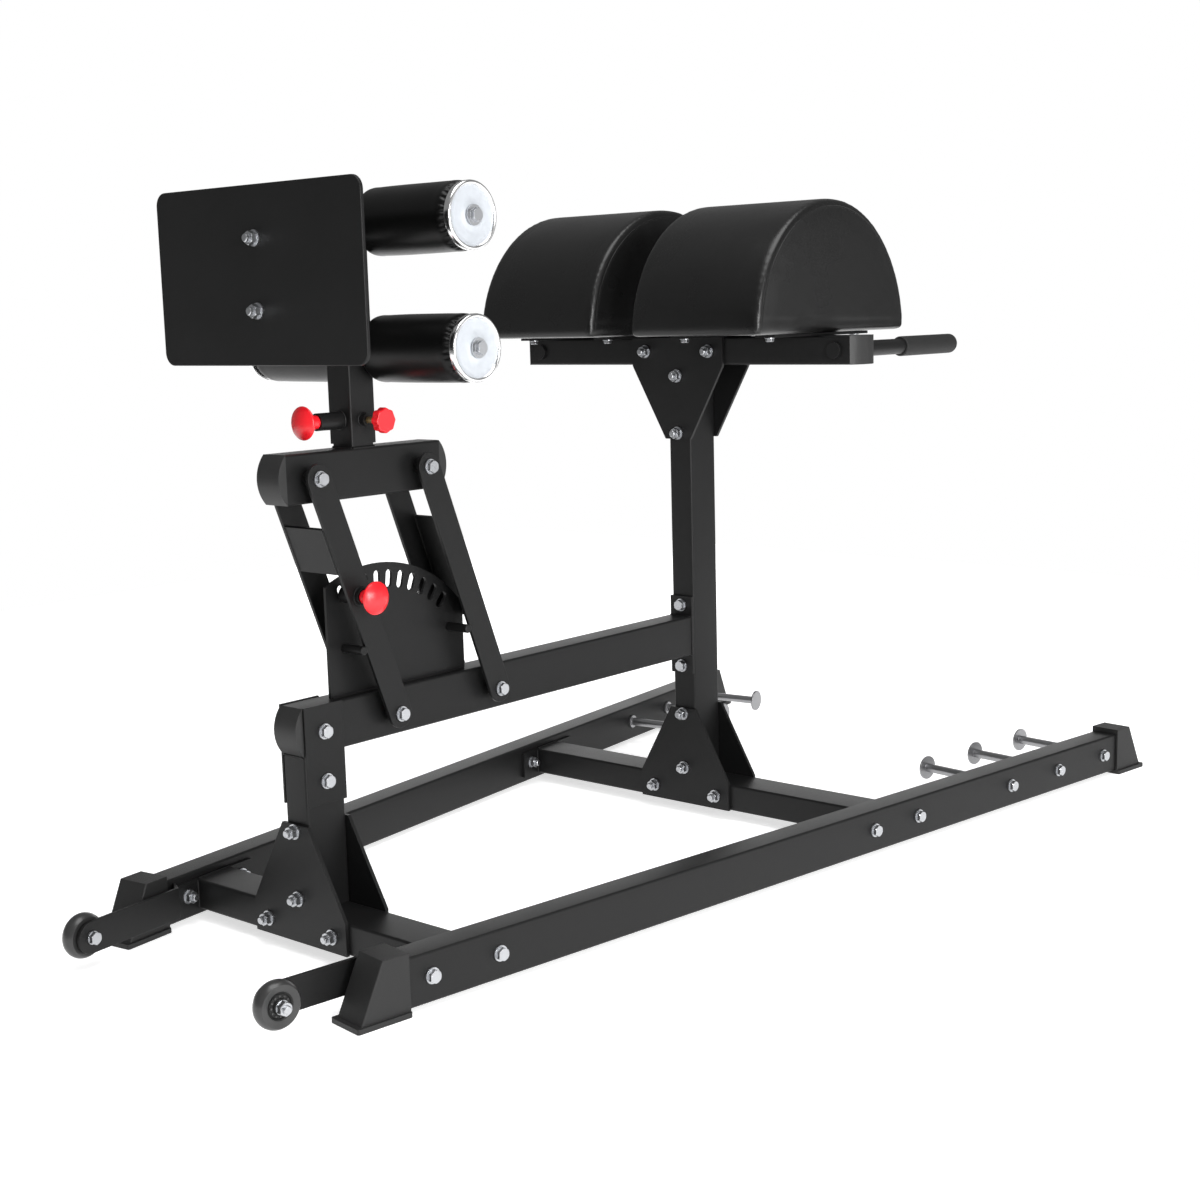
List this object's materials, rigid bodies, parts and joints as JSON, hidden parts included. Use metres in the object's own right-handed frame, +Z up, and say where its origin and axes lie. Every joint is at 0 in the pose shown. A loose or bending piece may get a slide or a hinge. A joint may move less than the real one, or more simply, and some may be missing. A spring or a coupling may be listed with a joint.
{
  "type": "roman chair",
  "caption": "Glute-ham roman chair: splayed steel base, split half-round pads, handles, ankle rollers and foot plate on an indexed swinging carriage.",
  "frame": {"origin": "on the floor under the middle of the bounding box, on the centre plane of the bench", "axes": "+X from the foot plate towards the pads and handles, +Y to the left of a person lying face down on the pads, +Z up"},
  "size_m": [2.0528, 1.1292, 1.152],
  "materials": {
    "steel": "satin black powder coat with a fine grain",
    "vinyl": "black upholstery vinyl, soft sheen",
    "rubber": "matt black moulded rubber",
    "tyre": "smooth dark polyurethane tread",
    "cap_plastic": "matt black moulded plastic",
    "chrome": "bright plated steel",
    "zinc": "bright zinc plate, slightly clouded",
    "brass": "plain turned brass",
    "red_plastic": "red glossy moulded plastic"
  },
  "bodies": {
    "base": {"rail_left": "steel", "rail_right": "steel", "front_cross": "steel", "rear_cross": "steel", "foot_caps": "rubber", "wheel_bars": "steel", "wheel_bolts": "zinc", "rail_bolts": "zinc", "band_pegs": "chrome", "peg_bolts": "zinc", "front_upright": "steel", "main_upright": "steel", "spine": "steel", "spine_cheeks": "steel", "spine_bolts": "zinc", "gusset_plates": "steel", "gusset_bolts": "zinc", "sector_plate": "steel", "stop_rods": "zinc", "frame_end_caps": "cap_plastic", "pad_beam": "steel", "pad_straps": "steel", "pad_bolts": "zinc", "pad_left": "vinyl", "pad_right": "vinyl", "handle_bars": "steel", "handle_grips": "rubber", "pivot_spacers_lower": "cap_plastic", "pivot_bolts_lower": "zinc"},
    "foot_links": {"link_foot_side": "steel"},
    "pad_links": {"link_pad_side": "steel"},
    "index_plunger": {"index_pin": "zinc", "index_pin_knob": "red_plastic"},
    "carriage": {"top_beam": "steel", "top_beam_caps": "cap_plastic", "pivot_spacers_upper": "cap_plastic", "pivot_bolts_upper": "zinc"},
    "sleeve": {"post_sleeve": "steel", "plate_standoffs": "steel", "foot_plate": "steel", "plate_bolts": "zinc", "roller_axles": "steel", "roller_bolts": "zinc"},
    "sleeve_plunger": {"sleeve_pin": "zinc", "sleeve_pin_knob": "red_plastic"},
    "clamp_screw": {"tension_screw": "brass", "tension_knob": "red_plastic"},
    "roller_ll": {"roller_lower_left": "vinyl", "roller_disc_lower_left": "chrome"},
    "roller_lr": {"roller_lower_right": "vinyl", "roller_disc_lower_right": "chrome"},
    "roller_ul": {"roller_upper_left": "vinyl", "roller_disc_upper_left": "chrome"},
    "roller_ur": {"roller_upper_right": "vinyl", "roller_disc_upper_right": "chrome"},
    "wheel_left": {"wheel_tyre_left": "tyre", "wheel_hub_left": "cap_plastic"},
    "wheel_right": {"wheel_tyre_right": "tyre", "wheel_hub_right": "cap_plastic"}
  },
  "joints": [
    {"name": "foot_link_swing", "type": "hinge", "parent": "base", "child": "foot_links", "pos_m": [-0.57652, 0, 0.35], "axis": [0, 1, 0], "range_deg": [0, 61.2]},
    {"name": "pad_link_swing", "type": "hinge", "parent": "base", "child": "pad_links", "pos_m": [-0.35252, 0, 0.35], "axis": [0, 1, 0], "range_deg": [0, 61.2]},
    {"name": "carriage_level", "type": "hinge", "parent": "foot_links", "child": "carriage", "pos_m": [-0.71734, 0, 0.72866], "axis": [0, 1, 0], "range_deg": [-61.2, 0]},
    {"name": "sleeve_height", "type": "slide", "parent": "carriage", "child": "sleeve", "axis": [0, 0, 1], "range_m": [0, 0.15]},
    {"name": "sleeve_pin_pull", "type": "slide", "parent": "sleeve", "child": "sleeve_plunger", "axis": [1, 0, 0], "range_m": [0, 0.012]},
    {"name": "index_pin_pull", "type": "slide", "parent": "foot_links", "child": "index_plunger", "axis": [0, 1, 0], "range_m": [0, 0.012]},
    {"name": "clamp_turn", "type": "hinge", "parent": "sleeve", "child": "clamp_screw", "pos_m": [-0.60534, -0.06, 0.808], "axis": [0, 1, 0], "range_deg": [-90, 90]},
    {"name": "roller_ll_spin", "type": "hinge", "parent": "sleeve", "child": "roller_ll", "pos_m": [-0.56784, 0.135, 0.913], "axis": [0, 1, 0], "continuous": true},
    {"name": "roller_lr_spin", "type": "hinge", "parent": "sleeve", "child": "roller_lr", "pos_m": [-0.56784, -0.135, 0.913], "axis": [0, 1, 0], "continuous": true},
    {"name": "roller_ul_spin", "type": "hinge", "parent": "sleeve", "child": "roller_ul", "pos_m": [-0.56784, 0.135, 1.101], "axis": [0, 1, 0], "continuous": true},
    {"name": "roller_ur_spin", "type": "hinge", "parent": "sleeve", "child": "roller_ur", "pos_m": [-0.56784, -0.135, 1.101], "axis": [0, 1, 0], "continuous": true},
    {"name": "wheel_left_spin", "type": "hinge", "parent": "base", "child": "wheel_left", "pos_m": [-0.99153, 0.22687, 0.051], "axis": [-0.134, 0.991, 0], "continuous": true},
    {"name": "wheel_right_spin", "type": "hinge", "parent": "base", "child": "wheel_right", "pos_m": [-0.99153, -0.22687, 0.051], "axis": [0.134, 0.991, 0], "continuous": true}
  ],
  "couplings": [
    {"joint": "pad_link_swing", "follows": "foot_link_swing", "ratio": 1},
    {"joint": "carriage_level", "follows": "foot_link_swing", "ratio": -1}
  ]
}
